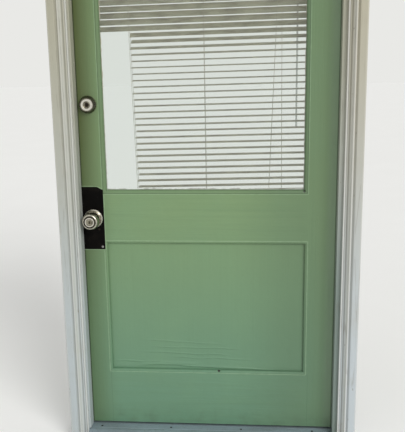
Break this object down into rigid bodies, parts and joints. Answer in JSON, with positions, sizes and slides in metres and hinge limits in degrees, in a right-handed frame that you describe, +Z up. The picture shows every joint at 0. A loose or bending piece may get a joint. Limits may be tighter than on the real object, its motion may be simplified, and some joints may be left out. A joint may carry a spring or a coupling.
{
  "type": "half-glazed panel door with frame",
  "caption": "Painted wooden door leaf with a glazed upper light over one flat panel, hung in a rebated frame with moulded casing, knob lock, deadbolt and a slatted blind inside.",
  "frame": {"origin": "underside of the sill, on the leaf's centre line and in the plane of the leaf's outside face", "axes": "+X towards the hinge side seen from outside, +Y into the building, +Z up"},
  "size_m": [1.0235, 0.2045, 2.1351],
  "materials": {
    "frame_paint": "white gloss paint over wood, yellowed, chipped on the mouldings",
    "leaf_paint": "sage green gloss paint over wood, wrinkled and worn",
    "sill_wood": "weathered wood",
    "threshold_metal": "dull mill finish",
    "seal_rubber": "matt",
    "hinge_steel": "satin",
    "screw_steel": "zinc plated",
    "lock_nickel": "satin nickel, tarnished",
    "lock_steel": "plain steel",
    "plug_brass": "worn",
    "plate_black": "black gloss",
    "clear_glass": "clear float glass",
    "blind_metal": "off-white enamel",
    "blind_cord": "braided",
    "wand_plastic": "clear acrylic"
  },
  "bodies": {
    "frame": {"latch_jamb": "frame_paint", "hinge_jamb": "frame_paint", "head_jamb": "frame_paint", "latch_stop": "frame_paint", "latch_brickmould": "frame_paint", "hinge_brickmould": "frame_paint", "head_brickmould": "frame_paint", "sill": "sill_wood", "threshold": "threshold_metal", "threshold_screws": "screw_steel", "latch_weatherstrip": "seal_rubber", "hinge_weatherstrip": "seal_rubber", "head_weatherstrip": "seal_rubber", "latch_strike": "lock_nickel", "deadbolt_strike": "lock_nickel", "frame_screws": "screw_steel", "hinge_pins": "hinge_steel", "frame_hinge_plate_bottom": "hinge_steel", "frame_hinge_plate_middle": "hinge_steel", "frame_hinge_plate_top": "hinge_steel"},
    "leaf": {"latch_stile": "leaf_paint", "hinge_stile": "leaf_paint", "top_rail": "leaf_paint", "lock_rail": "leaf_paint", "bottom_rail": "leaf_paint", "lower_panel": "leaf_paint", "panel_moulding": "leaf_paint", "glazing_bead_bottom": "leaf_paint", "glazing_bead_hinge_side": "leaf_paint", "glazing_bead_top": "leaf_paint", "glazing_bead_latch_side": "leaf_paint", "glass_pane": "clear_glass", "leaf_hinge_plate_bottom": "hinge_steel", "leaf_hinge_plate_middle": "hinge_steel", "leaf_hinge_plate_top": "hinge_steel", "leaf_screws": "screw_steel", "bottom_seal": "seal_rubber", "lock_plate": "plate_black", "outer_rose": "lock_nickel", "inner_rose": "lock_nickel", "latch_case": "lock_steel", "deadbolt_collar": "lock_nickel", "deadbolt_cylinder": "lock_nickel", "deadbolt_case": "lock_steel", "deadbolt_inner_rose": "lock_nickel", "blind_headrail": "blind_metal", "blind_brackets": "blind_metal", "blind_slats": "blind_metal", "blind_bottom_rail": "blind_metal", "blind_cords": "blind_cord"},
    "knobs": {"outer_knob": "lock_nickel", "inner_knob": "lock_nickel"},
    "knob_key_plug": {"knob_plug": "plug_brass"},
    "knob_lock_button": {"lock_button": "lock_nickel"},
    "latch": {"latch_bolt": "lock_steel"},
    "deadbolt_turn_piece": {"deadbolt_plug": "plug_brass", "thumb_turn": "lock_nickel"},
    "deadbolt": {"deadbolt_bolt": "lock_steel"},
    "wand": {"tilt_wand": "wand_plastic"}
  },
  "joints": [
    {"name": "door_swing", "type": "hinge", "parent": "frame", "child": "leaf", "pos_m": [0.4588, 0.05135, 0], "axis": [0, 0, -1], "range_deg": [0, 110]},
    {"name": "knob_turn", "type": "hinge", "parent": "leaf", "child": "knobs", "pos_m": [-0.3969, 0.02223, 0.81595], "axis": [0, 1, 0], "range_deg": [-60, 0]},
    {"name": "key_turn", "type": "hinge", "parent": "knobs", "child": "knob_key_plug", "pos_m": [-0.3969, -0.05, 0.81595], "axis": [0, 1, 0], "range_deg": [-90, 90]},
    {"name": "button_turn", "type": "hinge", "parent": "knobs", "child": "knob_lock_button", "pos_m": [-0.3969, 0.1, 0.81595], "axis": [0, 1, 0], "range_deg": [0, 90]},
    {"name": "latch_slide", "type": "slide", "parent": "leaf", "child": "latch", "axis": [-1, 0, 0], "range_m": [0, 0.0111]},
    {"name": "deadbolt_turn", "type": "hinge", "parent": "leaf", "child": "deadbolt_turn_piece", "pos_m": [-0.3969, 0.02223, 1.21315], "axis": [0, 1, 0], "range_deg": [0, 90]},
    {"name": "deadbolt_slide", "type": "slide", "parent": "leaf", "child": "deadbolt", "axis": [-1, 0, 0], "range_m": [0, 0.0254]},
    {"name": "wand_twist", "type": "hinge", "parent": "leaf", "child": "wand", "pos_m": [0.31, 0.08115, 1.5], "axis": [0, 0, 1], "continuous": true}
  ],
  "couplings": [
    {"joint": "latch_slide", "follows": "knob_turn", "m_per_rad": -0.01059},
    {"joint": "deadbolt_slide", "follows": "deadbolt_turn", "m_per_rad": 0.01616}
  ]
}
